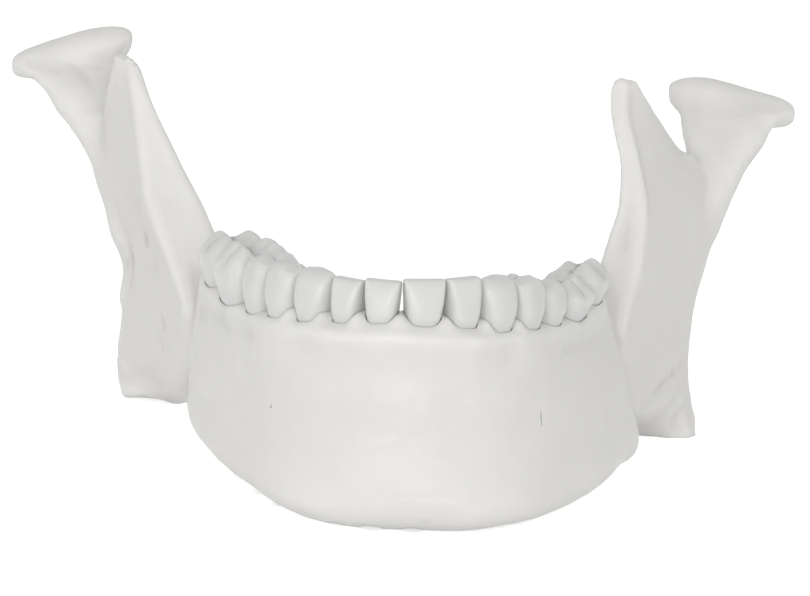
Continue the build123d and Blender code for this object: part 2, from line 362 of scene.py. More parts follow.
def relaxed(points, edges, rounds, weight=1.0, steps=(0.5, -0.52)):
    """Each round moves every point by each step in turn: that share of the way to the mean of its
    neighbours along the edges, times the weight."""
    count = np.bincount(edges.ravel(), minlength=len(points))[:, None]
    a, b = edges.T
    for step in steps * rounds:
        total = np.stack(
            [
                np.bincount(a, points[b, k], len(points)) + np.bincount(b, points[a, k], len(points))
                for k in range(3)
            ],
            axis=1,
        )
        points = points + step * weight * (total / count - points)
    return points


def nearness(points, path, reach):
    """e to the power of minus (distance from the path / reach) squared. The path is a smooth curve
    through its corners, sampled closely enough for its reach."""
    nearest = np.full(len(points), np.inf)
    for spot in through(path, PATH_STEPS) if len(path) > 1 else np.asarray(path, float):
        nearest = np.minimum(nearest, ((points - spot) ** 2).sum(axis=1))
    return np.exp(-nearest / reach**2)


jaw_points = relaxed(jaw_points, jaw_edges, RELAX_ROUNDS)
print("casting:", len(jaw_points), "points,", len(jaw.data.polygons), "faces")

# %% [markdown]
# ## Soft meetings
# Where the neck leaves the plate, where the head sits on the neck, and where the body runs into the
# plates, the real bone flows. Those places alone are smoothed much further, with a weight that
# fades away from them.

# %% Smooth the meetings
MEETINGS = (               # path of (x, y, z), reach, rounds
    ([(-45, 84, 31), (-47, 88, 38), (-50, 93, 44)], 6.5, 60),
    ([(47.6, 81, 31), (49.5, 85, 38), (51, 90, 43)], 6.5, 60),
    ([(-62, 97, 45), (-54, 94, 45), (-46, 95, 48)], 3.6, 36),
    ([(61, 94, 44), (52, 91, 44), (43, 92, 46)], 3.6, 36),
    ([(-32, 47, 22), (-34, 52, 12), (-33, 54, 4)], 5.0, 40),
    ([(36.6, 45, 22), (38, 47, 12), (38.6, 50, 4)], 5.0, 40),
    ([(-27, 50, 24), (-27, 52, 12), (-28, 56, 5)], 5.0, 40),
    ([(32, 47, 24), (32, 50, 12), (34, 54, 5)], 5.0, 40),
)
for path, reach, rounds in MEETINGS:
    weight = nearness(jaw_points, path, reach)[:, None]
    jaw_points = relaxed(jaw_points, jaw_edges, rounds, weight, (0.5,))
print("smoothed", len(MEETINGS), "meetings")

# %% [markdown]
# ## Pulling the outline
# A few places stand one to three millimetres off what plain stations can say: the tucked lower edges
# in front of both angles, the small spur of the left angle, the corner of the body below it, the
# chin's lower edge, a few places on the plates' back edges and one coronoid tip. They are pulled like
# clay: each point moves by the shift times a bell curve of its distance.

# %% Pull
PULLS = (                  # centre, reach, shift
    ((-38.5, 64.5, 0), 7.5, (0, 0, 2.9)),
    ((41.5, 57.5, 0), 7.0, (0, 0, 2.1)),
    ((46.4, 66, 1.0), 3.2, (0.2, -2.8, -1.2)),
    ((34.5, 41, 4), 6.0, (2.8, 0, -0.8)),
    ((5, -6, 0), 9.0, (0, 0.5, 0.9)),
    ((16, 3, 0), 6.0, (0, 0.4, 0.6)),
    ((-43.6, 70, 55.4), 3.0, (-0.2, 0, -1.2)),
    ((46.2, 79, 40.6), 2.4, (0, 0, 1.4)),
    ((-47.6, 83, 41.6), 2.4, (0, 0, 1.4)),
    ((-44.5, 74.5, 20.5), 3.4, (1.6, 0, 0)),
    ((-48.4, 82.5, 31), 4.2, (-0.7, 0, 0)),
)
for centre, reach, shift in PULLS:
    jaw_points = jaw_points + nearness(jaw_points, [centre], reach)[:, None] * np.array(shift)
print("pulled", len(PULLS), "places")

# %% [markdown]
# ## Modelling the surface
# Ridges, grooves and hollows are pushed along the surface's own normals. Each is a path, a reach
# and a height: the push is the height times a bell curve of the distance from the path. A negative
# height makes a groove. The broad forms come first and the fine ones last, with the normals read
# again between them.

# %% Broad forms
BROAD = (                  # path of (x, y, z), reach, height
    ([(5.5, -6.3, 10), (1.0, -6.5, 10)], 6.5, 0.35),                                # chin
    ([(-13.5, -0.8, 25.6), (-10.5, -3.6, 25), (-6, -6, 25), (1, -7, 25.4), (7, -6.6, 25.6),
      (12.5, -4.2, 25.4), (17, 0.8, 25.6)], 3.6, -0.85),                            # under the lip
    ([(-21.8, 13, 25), (-25.5, 24, 23.5), (-29, 35, 22.5)], 3.4, -0.7),             # cheek hollows
    ([(26.6, 16, 24.6), (29.5, 26, 23.4), (32, 36, 22.4)], 3.4, -0.8),
    ([(-33, 47, 18), (-32, 38, 15.5), (-28, 24, 13.5)], 2.6, 0.5),                  # slanting lines
    ([(37, 45, 18), (35, 36, 15.5), (30, 22, 13.5)], 2.6, 0.55),
    ([(-30.4, 48.4, 22), (-32.6, 53, 28), (-35.4, 58, 34)], 2.4, -0.4),             # front hollows
    ([(34.6, 53.4, 32), (35.2, 57, 37)], 1.5, -0.6),
    ([(-49.5, 84, 30), (-50.6, 85, 34), (-52, 86.4, 38), (-54, 89.6, 41.6)], 3.2, 1.1),
    ([(51, 79.8, 30), (52, 81, 34), (53.4, 83.2, 38), (55, 87, 41.8)], 3.2, 1.1),   # sides of the necks
    ([(-21, 38, 8), (-24, 47, 8.5)], 5.0, -0.8),                                    # under the tongue
    ([(24, 36, 8), (28, 46, 8.5)], 5.0, -0.8),
    ([(-44.5, 68, 30), (-44, 70, 20)], 6.0, -0.35),                                 # cheek of the plates
    ([(47.5, 66, 30), (46.8, 66, 20)], 6.0, -0.35),
    ([(-50, 92, 44), (-48.4, 91, 41)], 2.6, -0.7),                                  # front of the necks
    ([(50.5, 87, 43.4), (50, 86, 41)], 2.6, -0.7),
)
FINE = (
    ([(-43.1, 69, 54), (-41.6, 66.4, 48.5), (-40.1, 63, 41.3), (-39, 60, 35.7), (-37, 56.6, 30.9),
      (-34.8, 53, 26.3), (-33.2, 50.4, 23), (-31.8, 48, 19.7)], 1.1, 0.9),          # front ridges
    ([(33.5, 66.4, 55), (33.8, 64, 50), (34.8, 62.6, 46.6), (36.1, 60.3, 41.8), (37.1, 57.4, 36.4),
      (36.9, 54.3, 31.9), (36.3, 51.4, 28), (35.4, 48.6, 24.6), (34.4, 46.2, 20.6)], 1.1, 0.95),
    ([(-13.6, 0.9, 29.6), (-10.5, -2.8, 29.2), (-6.2, -5.5, 29.4), (0.4, -6.7, 30), (7, -6, 30),
      (12, -3.5, 29.4), (15.9, 0.1, 29.1), (17.6, 3.4, 29.1)], 1.0, 0.3),           # the lip
    ([(-14.6, 1.6, 28), (-16.4, 5.2, 28), (-18.4, 11, 27.4), (-20.8, 18, 26.6)], 1.1, 0.25),
    ([(18.6, 4.6, 28.2), (20.6, 10, 27.6), (23.4, 17, 26.8)], 1.1, 0.25),
    ([(2.2, -7.4, 7.2), (8.7, -7.2, 8.0), (12.4, -6.2, 7.6)], 0.6, 0.16),           # chin wrinkles
    ([(-1.6, -7.3, 5.2), (5, -7.2, 5.8), (11.6, -6.4, 5.4)], 0.6, 0.14),
    ([(-7, -5, 14.6), (-3, -5.8, 13.6), (0.6, -6.2, 14.6)], 0.8, 0.14),
    ([(5.8, -5.9, 1.6), (6.2, -4.6, 0.2)], 0.9, -0.4),
    ([(-43.6, 70.4, 24.8), (-39.2, 61.5, 19.6), (-35.8, 56, 14.5)], 0.9, -0.3),     # creases
    ([(-38.2, 60.2, 15), (-35.5, 56, 11.2)], 0.8, -0.25),
    ([(46.8, 66.7, 11.5), (42.6, 58, 9.6), (38.8, 50.2, 7.2)], 0.9, -0.35),
    ([(46, 64, 6), (43.6, 60, 4.4)], 0.8, 0.3),
    ([(45.4, 62, 9), (42.4, 57, 6.6)], 0.7, 0.3),
    ([(44.6, 60.6, 2.6), (41, 56, 3.6)], 0.7, 0.25),
    ([(-43.6, 70, 6), (-40.6, 65.4, 4.4)], 0.8, 0.3),
    ([(-43.4, 69, 10), (-40, 63.4, 7)], 0.8, 0.25),
    ([(-53.8, 93.4, 48.3), (-50.6, 90.6, 45.6), (-48.6, 88.6, 43.2), (-46.4, 92.4, 47.4),
      (-45.4, 95, 51)], 0.9, -0.45),                                                # front of the heads
    ([(46, 89.8, 47.2), (48, 86.8, 44.2), (52.8, 88.6, 46.4)], 0.9, -0.4),
    ([(-60.6, 94.4, 48.4), (-59.4, 92.4, 46.2)], 0.6, -0.35),
    ([(-9, 8.4, 7), (-16.6, 18.6, 12), (-21.4, 32, 16), (-25.4, 45, 19.6)], 1.2, 0.6),  # inner lines
    ([(11, 8.4, 7), (18.6, 18.6, 12), (24, 32, 16), (28.6, 44, 19.6)], 1.2, 0.6),
    ([(-0.6, 5.4, 8.6)], 1.1, 0.7),                                                 # inner chin bumps
    ([(2.6, 5.4, 8.6)], 1.1, 0.7),
    ([(-38.4, 66.4, 26.4)], 1.3, -1.1),                                             # nerve openings
    ([(39.6, 63.4, 26.4)], 1.3, -1.1),
    ([(-37.6, 64.6, 27.4), (-37.2, 64, 28.8)], 0.8, 0.6),
    ([(38.8, 61.6, 27.4), (38.6, 61, 28.8)], 0.8, 0.6),
)


def modelled(points, features):
    """The points after all the features' pushes, added up, along the present normals."""
    write_points(jaw, points)
    normals = read_normals(jaw)
    push = sum(height * nearness(points, path, reach) for path, reach, height in features)
    return points + push[:, None] * normals


jaw_points = modelled(jaw_points, BROAD)
jaw_points = modelled(jaw_points, FINE)
print("modelled", len(BROAD), "broad and", len(FINE), "fine forms")

# %% Roots under the gum edge, webs between the front teeth, and a hand-finished unevenness
def node_points(name):
    return read_points(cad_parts[name])


TOOTH_KINDS = (
    "central_incisor", "lateral_incisor", "canine", "first_premolar", "second_premolar",
    "first_molar", "second_molar",
)
SHANK_LENGTH = dict(zip(TOOTH_KINDS, (11.0, 11.0, 11.5, 11.0, 11.0, 10.0, 9.5)))


def lowest_middle(name):
    """The middle of a tooth's lowest face: its axis in x and y, and the shank's end in z."""
    points = node_points(name)
    low = points[points[:, 2] < points[:, 2].min() + 0.01]
    return (low.min(axis=0) + low.max(axis=0)) / 2


tooth_names = [f"right_{kind}" for kind in TOOTH_KINDS[::-1]] + [f"left_{kind}" for kind in TOOTH_KINDS]
tooth_feet = np.array([lowest_middle(name) for name in tooth_names])
row_directions = np.gradient(tooth_feet[:, :2], axis=0)
row_directions /= np.linalg.norm(row_directions, axis=1, keepdims=True)
ROOT_OUT = 5.6            # from a tooth's axis to the outer skin
ROOT_TOP, ROOT_STEP = 3.5, 4.0        # below the bone edge, and between a root's three points
ROOT_REACH, ROOT_HEIGHT = 1.5, 0.11
FRONT_GAPS = range(3, 10)             # from the right first premolar to the left one
WEB_OUT, WEB_IN = 2.2, 1.6            # from the middle of the gap to the web's two ends
WEB_REACH, WEB_HEIGHT = 1.3, 1.5
roots = []
for foot, (ahead_x, ahead_y) in zip(tooth_feet, row_directions):
    out = np.array([ahead_y, -ahead_x, 0]) * ROOT_OUT
    top = np.array([foot[0], foot[1], crest_height(foot[1]) - ROOT_TOP]) + out
    roots.append(([top, top - (0, 0, ROOT_STEP), top - (0, 0, 2 * ROOT_STEP)], ROOT_REACH, ROOT_HEIGHT))
for gap in FRONT_GAPS:
    a, b = tooth_feet[gap], tooth_feet[gap + 1]
    ahead_x, ahead_y = row_directions[gap]
    peak = np.array([*((a + b) / 2)[:2], crest_height((a + b)[1] / 2)])
    out = np.array([ahead_y, -ahead_x, 0])
    roots.append(([peak + out * WEB_OUT, peak - out * WEB_IN], WEB_REACH, WEB_HEIGHT))
jaw_points = modelled(jaw_points, roots)


WOBBLES = ((0.10, 11, 3), (0.035, 4, 4))          # height, wavelength, seed
ANGLE_HEIGHT, ANGLE_WAVE, ANGLE_SEED = 0.16, 2.6, 5
WAVE_COUNT, WAVE_CALM = 12, 1.4
ANGLES = (((-42, 70, 5), 7), ((45, 64, 5), 8))    # centre and reach of the rough angles


def unevenness(points, size, seed):
    """A smooth random field, mostly between -1 and 1: the sum of sine waves in random directions, each
    as long as the size, divided by the root of their number and by WAVE_CALM."""
    random = np.random.default_rng(seed)
    waves = random.normal(size=(WAVE_COUNT, 3))
    waves *= 2 * pi / size / np.linalg.norm(waves, axis=1, keepdims=True)
    phases = random.uniform(0, 2 * pi, WAVE_COUNT)
    return np.sin(points @ waves.T + phases).sum(axis=1) / WAVE_COUNT**0.5 / WAVE_CALM


write_points(jaw, jaw_points)
jaw_normals = read_normals(jaw)
wobble = sum(height * unevenness(jaw_points, size, seed) for height, size, seed in WOBBLES)
angle_rough = sum(nearness(jaw_points, [centre], reach) for centre, reach in ANGLES)
wobble += ANGLE_HEIGHT * angle_rough * unevenness(jaw_points, ANGLE_WAVE, ANGLE_SEED)
jaw_points = jaw_points + wobble[:, None] * jaw_normals
print(len(roots), "roots and webs; unevenness up to", np.abs(wobble).max().round(2), "mm")

# %% [markdown]
# ## Feet
# The jaw stands on its chin and on its two angles. Whatever hangs below the table top is pressed
# flat onto it, which is how such a casting is sanded to stand still.

# %% Press the feet flat
jaw_points[:, 2] = np.maximum(jaw_points[:, 2], 0.0)
write_points(jaw, jaw_points)
print("feet:", int((jaw_points[:, 2] < 0.001).sum()), "points on the table")

# %% [markdown]
# ## The teeth
# Each tooth is one closed grid that starts inside the screw's bore, comes out at the foot, climbs
# the shank and the crown, and closes over the chewing surface. Round the axis every ring is a
# superellipse, which a power turns from an oval into a rounded oblong, and it reaches further to
# the lip or to the tongue as that kind of tooth does. Cusps and grooves are a height field.

# %% Crown profiles and cusps of each kind
# share of crown height, half width, towards the lip, towards the tongue, power
INCISOR = (
    (0.00, 0.370, 0.40, 0.40, 2.8),
    (0.14, 0.405, 0.45, 0.44, 2.9),
    (0.34, 0.445, 0.51, 0.42, 3.2),
    (0.60, 0.485, 0.47, 0.24, 3.8),
    (0.82, 0.508, 0.38, 0.13, 4.6),
    (0.95, 0.511, 0.29, 0.10, 5.4),
    (1.00, 0.497, 0.22, 0.06, 5.6),
)
CANINE = (
    (0.00, 0.370, 0.40, 0.40, 2.6),
    (0.16, 0.415, 0.45, 0.45, 2.7),
    (0.38, 0.465, 0.50, 0.45, 3.0),
    (0.60, 0.495, 0.47, 0.32, 3.3),
    (0.80, 0.500, 0.39, 0.20, 3.5),
    (0.93, 0.455, 0.29, 0.12, 3.3),
    (1.00, 0.370, 0.18, 0.06, 3.1),
)
PREMOLAR = (
    (0.00, 0.39, 0.40, 0.40, 2.6),
    (0.18, 0.43, 0.45, 0.45, 2.8),
    (0.42, 0.48, 0.50, 0.48, 3.1),
    (0.68, 0.50, 0.47, 0.46, 3.4),
    (0.88, 0.49, 0.42, 0.41, 3.6),
    (1.00, 0.45, 0.34, 0.33, 3.6),
)
MOLAR = (
    (0.00, 0.40, 0.40, 0.40, 3.2),
    (0.18, 0.46, 0.45, 0.45, 3.2),
    (0.42, 0.50, 0.51, 0.49, 3.4),
    (0.70, 0.49, 0.49, 0.46, 3.4),
    (0.90, 0.45, 0.43, 0.40, 3.2),
    (1.00, 0.40, 0.37, 0.34, 3.0),
)
# cusps as (place away from the midline, place towards the tongue, height in mm, reach), where the
# rim of the chewing surface is at 1, and grooves as (from, to, depth in mm)
PREMOLAR_TOP = (((0, -0.5, 1.3, 0.9), (0, 0.62, 1.0, 0.5), (0.85, 0, 0.5, 0.3), (-0.85, 0, 0.5, 0.3)),
                (((-0.5, 0.12), (0.5, 0.12), 0.5),))
MOLAR_TOP = (((-0.62, -0.55, 1.7, 0.40), (0.06, -0.62, 1.7, 0.40), (0.70, -0.42, 1.4, 0.36),
              (-0.5, 0.60, 1.6, 0.42), (0.48, 0.60, 1.5, 0.42)),
             (((-0.75, 0.02), (0.75, 0.08), 0.6), ((-0.28, -1.0), (-0.24, 0.0), 0.5),
              ((0.40, -1.0), (0.36, 0.0), 0.5), ((0, 0.05), (0, 1.0), 0.5)))
SECOND_MOLAR_TOP = (((-0.55, -0.55, 1.6, 0.44), (0.55, -0.55, 1.5, 0.44), (-0.5, 0.58, 1.5, 0.42),
                     (0.52, 0.58, 1.4, 0.42)),
                    (((-0.8, 0), (0.8, 0), 0.6), ((0, -1.0), (0, 1.0), 0.5)))
INCISOR_TOP = (((-0.66, 0, 0.10, 0.3), (0.66, 0, 0.06, 0.3)), ())
CANINE_TOP = (((-0.1, 0, 0.5, 0.9),), ())
FORMS = dict(zip(TOOTH_KINDS, (
    (INCISOR, INCISOR_TOP), (INCISOR, INCISOR_TOP), (CANINE, CANINE_TOP), (PREMOLAR, PREMOLAR_TOP),
    (PREMOLAR, PREMOLAR_TOP), (MOLAR, MOLAR_TOP), (MOLAR, SECOND_MOLAR_TOP),
)))
GROOVE_REACH = 0.11
# the tongue side of the back teeth is uneven: share of the reach, and lift in mm
TONGUE_SIDE = {
    "right": dict(zip(TOOTH_KINDS[3:], ((1.05, -0.5), (1.22, 0.8), (1.26, 1.0), (1.20, 0.3)))),
    "left": dict(zip(TOOTH_KINDS[3:], ((1.0, 0.0), (0.96, 0.2), (0.92, -1.2), (0.94, -1.2)))),
}
print(len(FORMS), "kinds of tooth")

# %% One tooth as a grid
SHANK_FIT = 0.15
SHANK_END_SHARE = 0.66
BORE_RADIUS = 0.95
BORE_DEPTH = 5.95
BORE_TIP_SHARE = 0.2      # radius of the bore's blunt end, of the bore's
FOOT_BEVEL = 0.15
CROWN_UP, SOCKET_UP = 5, 4             # rows for each gap in the profile
CAP_ROWS, CAP_END = 22, 0.04          # rings that close the chewing surface, and the last one's size
STRETCH_FROM, STRETCH_OVER = 0.4, 0.5   # shares of the crown where the tongue side stretches
RISE_FROM, RISE_OVER = 0.45, 0.55       # and where the walls follow the cusps
SOCKET_TO = 0.5           # share of the crown up to which the socket follows its wall
TOOTH_CREASE, JAW_CREASE, SCREW_CREASE = 50, 42, 30
TURN = np.linspace(0, 2 * pi, 96, endpoint=False)


def oval(half_width, to_lip, to_tongue, power):
    """Rings of x and y: cos and sin of the turn, each to the power 2 / power with its sign kept,
    times the half width, and times the reach to the lip (-y) or to the tongue (+y)."""
    half_width, to_lip, to_tongue, power = (
        np.asarray(value, float).reshape(-1, 1) for value in (half_width, to_lip, to_tongue, power)
    )
    across = np.sign(np.cos(TURN)) * np.abs(np.cos(TURN)) ** (2 / power)
    deep = np.sign(np.sin(TURN)) * np.abs(np.sin(TURN)) ** (2 / power)
    return half_width * across, np.where(deep < 0, to_lip, to_tongue) * deep


def chewing_height(u, v, cusps, grooves):
    """Height below the crown's top, at most 0: a bell curve for each cusp, less one for each groove,
    which falls off with the distance from the groove's line."""
    field = sum(height * np.exp(-((u - x) ** 2 + (v - y) ** 2) / reach**2) for x, y, height, reach in cusps)
    for start, end, depth in grooves:
        line = np.subtract(end, start)
        share = ((u - start[0]) * line[0] + (v - start[1]) * line[1]) / (line @ line)
        share = np.clip(share, 0, 1)
        away = (u - start[0] - share * line[0]) ** 2 + (v - start[1] - share * line[1]) ** 2
        field = field - depth * np.exp(-away / GROOVE_REACH**2)
    return field - field.max()


def tooth_rings(kind, outwards, width, depth, crown, shank, tongue_side):
    """Rings from the bore's end to the middle of the chewing surface, with the neck at height 0."""
    profile, (cusps, grooves) = FORMS[kind]
    stretch, lift = tongue_side
    share, half_width, to_lip, to_tongue, power = through(profile, CROWN_UP).T
    to_tongue = to_tongue * (1 + (stretch - 1) * np.clip((share - STRETCH_FROM) / STRETCH_OVER, 0, 1))
    wall_x, wall_y = oval(half_width * width, to_lip * depth, to_tongue * depth, power)
    rim_x, rim_y = wall_x[-1:], wall_y[-1:]
    closing = np.linspace(1, CAP_END, CAP_ROWS)[:, None]
    cap_x, cap_y = rim_x * closing, rim_y * closing
    reach_y = np.where(rim_y < 0, to_lip[-1], to_tongue[-1]) * depth
    u = outwards * cap_x / (profile[-1][1] * width)
    v = cap_y / reach_y
    below = chewing_height(u, v, cusps, grooves) + lift * np.clip(v, 0, 1)
    rise = np.clip((share[:, None] - RISE_FROM) / RISE_OVER, 0, 1)
    wall_z = share[:, None] * crown + below[:1] * rise**2 * (3 - 2 * rise)
    cap_z = crown + below
    foot = SHANK_END_SHARE / 2
    bore = [BORE_RADIUS * BORE_TIP_SHARE, BORE_RADIUS, BORE_RADIUS]
    low_width = [*bore, foot * width - FOOT_BEVEL, foot * width]
    low_depth = [*bore, foot * depth - FOOT_BEVEL, foot * depth]
    low_x, low_y = oval(low_width, low_depth, low_depth, [2, 2, 2, 4, 4])
    low_z = np.array([BORE_DEPTH, BORE_DEPTH, 0, 0, FOOT_BEVEL])[:, None] - shank
    climb = np.linspace(0, 1, 9)[1:-1, None]
    shank_x = low_x[-1:] + climb * (wall_x[:1] - low_x[-1:])
    shank_y = low_y[-1:] + climb * (wall_y[:1] - low_y[-1:])
    shank_z = low_z[-1:] * (1 - climb)
    x = np.concatenate([low_x, shank_x, wall_x, cap_x[1:]])
    y = np.concatenate([low_y, shank_y, wall_y, cap_y[1:]])
    z = np.concatenate([grid + 0 * TURN for grid in (low_z, shank_z, wall_z, cap_z[1:])])
    return np.stack([x, y, z], axis=-1)


def socket_rings(kind, width, depth, crown, shank):
    """The hollow that a tooth sits in: its shank and lower crown, larger by the fit all round, and
    from the widest part straight up past the crown."""
    profile = [row for row in FORMS[kind][0] if row[0] < SOCKET_TO]
    share, half_width, to_lip, to_tongue, power = through(profile, SOCKET_UP).T
    foot = SHANK_END_SHARE / 2
    ahead = ([foot * width], [foot * depth], [foot * depth], [4])
    crown_part = (half_width * width, to_lip * depth, to_tongue * depth, power)
    above = tuple(values[-1:] for values in crown_part)
    rows = [np.concatenate(group) for group in zip(ahead, crown_part, above)]
    x, y = oval(rows[0] + SHANK_FIT, rows[1] + SHANK_FIT, rows[2] + SHANK_FIT, rows[3])
    z = np.concatenate([[-shank - SHANK_FIT], share * crown, [2 * crown]])[:, None] + 0 * TURN
    return np.stack([x, y, z], axis=-1)


def heading_of(name, guess):
    """The direction of a tooth's width. The flats of its CAD solid face along and across it, so four
    times each flat's direction adds up to four times the heading."""
    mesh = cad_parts[name].data
    normals, areas = np.empty(len(mesh.polygons) * 3), np.empty(len(mesh.polygons))
    mesh.polygons.foreach_get("normal", normals)
    mesh.polygons.foreach_get("area", areas)
    level = normals.reshape(-1, 3)[:, 0] + 1j * normals.reshape(-1, 3)[:, 1]
    flats = areas * np.abs(level) > 0
    total = (areas * np.abs(level) * (level / np.maximum(np.abs(level), 1e-9)) ** 4)[flats].sum()
    wanted = np.angle(complex(*guess))
    turns = np.angle(total) / 4 + np.arange(8) * pi / 2
    off = np.abs(np.angle(np.exp(1j * (turns - wanted))))
    best = turns[off.argmin()]
    return np.array([cos(best), sin(best)])


def placed(rings, axis, heading, neck):
    """Rings turned so that x runs along the heading, and moved to the tooth's place."""
    x, y, z = (rings[..., i] for i in range(3))
    across = np.array([-heading[1], heading[0]])
    level = axis + x[..., None] * heading + y[..., None] * across
    return np.concatenate([level, (z + neck)[..., None]], axis=-1)


teeth, sockets = [], []
for name, foot, guess in zip(tooth_names, tooth_feet, row_directions):
    side_name, kind = name.split("_", 1)
    heading = heading_of(name, guess)
    points = node_points(name)
    along = points[:, :2] @ heading
    across = points[:, :2] @ np.array([-heading[1], heading[0]])
    width, depth = np.ptp(along), np.ptp(across)
    shank = SHANK_LENGTH[kind]
    crown = np.ptp(points[:, 2]) - shank
    neck = foot[2] + shank
    uneven = TONGUE_SIDE[side_name].get(kind, (1, 0))
    rings = tooth_rings(kind, dict(SIDES)[side_name], width, depth, crown, shank, uneven)
    tooth = mesh_object("tooth_" + name, *skin(placed(rings, foot[:2], heading, neck)))
    set_shading(tooth, TOOTH_CREASE)
    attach(tooth, name)
    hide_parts(name)
    teeth.append(tooth)
    sockets.append(skin(placed(socket_rings(kind, width, depth, crown, shank), foot[:2], heading, neck)))
    print(f"{name}: {width:.1f} wide, {depth:.1f} deep, crown {crown:.1f}")

# %% [markdown]
# ## Sockets and screw channels
# The sockets are cut with each tooth's own outline plus the fit, so every tooth has its own hole
# and a hairline seam round its neck. Under each one a channel for the screw and a wider one for
# its head and the screwdriver are cut from below.

# %% Cut the casting
SCREW_LEDGE = 3.5
SCREW_SHANK_R, SCREW_HEAD_R = 0.8, 1.5
SCREW_HEAD_H, SCREW_LENGTH = 1.2, 9.0
CHANNEL_R = 1.7
CHANNEL_START = -2.0
CHANNEL_OVERLAP = 0.3     # how far a channel runs on into its socket


def turned(radii, heights, axis, around=32):
    """Rings of a body of revolution: the radius at each height, carried round the axis."""
    angle = np.linspace(0, 2 * pi, around, endpoint=False)
    radius, height = np.asarray(radii, float)[:, None], np.asarray(heights, float)[:, None]
    x, y = axis[0] + radius * np.cos(angle), axis[1] + radius * np.sin(angle)
    return np.stack([x, y, height + 0 * x], axis=-1)


channels = []
for foot in tooth_feet:
    ledge_top = foot[2] - SHANK_FIT
    seat = ledge_top - SCREW_LEDGE
    radii = (CHANNEL_R, CHANNEL_R, BORE_RADIUS, BORE_RADIUS)
    heights = (CHANNEL_START, seat, seat, ledge_top + CHANNEL_OVERLAP)
    channels.append(skin(turned(radii, heights, foot)))


def slit(centre, along, inwards, half_length, half_width, depth):
    """A narrow ellipsoid whose long half-axis points along, and whose deep one points inwards."""
    along, inwards = (np.array(v, float) / np.linalg.norm(v) for v in (along, inwards))
    sideways = np.cross(along, inwards)
    polar = np.linspace(0.12, pi - 0.12, 15)[:, None]
    around = np.linspace(0, 2 * pi, 24, endpoint=False)
    a = half_length * np.cos(polar) + 0 * around
    b, c = half_width * np.sin(polar) * np.cos(around), depth * np.sin(polar) * np.sin(around)
    return np.asarray(centre) + a[..., None] * along + b[..., None] * sideways + c[..., None] * inwards


nerve_slits = [
    skin(slit((-17.4, 5.1, 15.8), (-1.4, -1.9, 1.0), (0.8, 0.6, 0), 1.15, 0.26, 1.2)),
    skin(slit((22.4, 5.7, 16.1), (-0.2, 0.1, 1.3), (-0.8, 0.6, 0), 1.25, 0.22, 1.2)),
]
cut(jaw, mesh_object("socket_cutter", *join_skins(sockets)))
cut(jaw, mesh_object("channel_cutter", *join_skins(channels)))
cut(jaw, mesh_object("slit_cutter", *join_skins(nerve_slits)))
set_shading(jaw, JAW_CREASE)
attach(jaw, "jaw")
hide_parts("mandible")
print("casting after its cuts:", len(jaw.data.vertices), "points,", len(jaw.data.polygons), "faces")

# %% [markdown]
# ## Hollows and edges as a mask
# Painted shade, a little warmer, goes in the plastic's hollows and a painted highlight on its ridges,
# with a duller gloss in the hollows. The mask is worked out from the shape: how far the surface stands
# out from its own smoothed copy.

# %% Store the mask on a mesh
def store_relief(thing, rounds, span):
    """An attribute from 0 in hollows to 1 on ridges: 0.5 plus the distance to the mesh smoothed over
    the rounds, measured along the normal and divided by the span."""
    points, normals = read_points(thing), read_normals(thing)
    smooth = relaxed(points, read_edges(thing), rounds, 1.0, (0.6,))
    relief = 0.5 + ((points - smooth) * normals).sum(axis=1) / span
    values = np.clip(relief, 0, 1).astype(np.float32)
    attribute = thing.data.attributes.new("relief", "FLOAT", "POINT")
    attribute.data.foreach_set("value", values)
    return values


JAW_RELIEF = (40, 0.9)    # rounds, span
TOOTH_RELIEF = (30, 0.8)
print("jaw relief, mean:", store_relief(jaw, *JAW_RELIEF).mean().round(3))
for tooth in teeth:
    store_relief(tooth, *TOOTH_RELIEF)

# %% [markdown]
# ## The screws
# One small cheese-head screw holds each tooth. Its outline is carried round its axis, and the
# thread is the same grid with the radius swelling once a pitch, a wave that also turns with the
# angle, so that it climbs as a real thread does. The slot in the head is cut with a plain bar.

# %% Screws
PITCH, THREAD_DEPTH = 0.35, 0.16
SLOT_WIDTH, SLOT_DEPTH = 0.6, 0.5
SCREW_AROUND = 20
THREAD_STEPS = 5          # rows for each pitch
TAPER_PITCHES, TAPER_SHARE = 2, 0.35


def screw_rings(axis, seat):
    """Head and shank of one screw, head down. The shank's radius is less by the thread's depth times
    (1 - cos(turns of the helix)) / 2, and it tapers over the last two pitches."""
    angle = np.linspace(0, 2 * pi, SCREW_AROUND, endpoint=False)
    head_radii = np.array([0.9, 0.97, 1.0, 1.0, 0.97, 0.56]) * SCREW_HEAD_R
    head_heights = np.array([-1.0, -0.97, -0.86, -0.1, 0.0, 0.0]) * SCREW_HEAD_H
    height = np.arange(0, SCREW_LENGTH, PITCH / THREAD_STEPS)[:, None]
    wave = (1 - np.cos(2 * pi * height / PITCH - angle)) / 2
    taper_length = PITCH * TAPER_PITCHES
    taper = 1 - np.clip((height - SCREW_LENGTH + taper_length) / taper_length, 0, 1) * TAPER_SHARE
    radius = (SCREW_SHANK_R - THREAD_DEPTH * wave) * taper
    radius = np.concatenate([head_radii[:, None] + 0 * angle, radius])
    height = np.concatenate([head_heights[:, None], height + 0.001]) + 0 * angle
    x, y = axis[0] + radius * np.cos(angle), axis[1] + radius * np.sin(angle)
    return np.stack([x, y, height + seat], axis=-1)


def bar(centre, size):
    """Points and faces of a plain block, as a ring of four corners at each end."""
    corners = np.array([(-1, -1), (1, -1), (1, 1), (-1, 1)]) / 2 * size[:2]
    rings = [np.column_stack([centre[:2] + corners, np.full(4, centre[2] + z)]) for z in (-size[2], size[2])]
    return skin(np.array(rings))


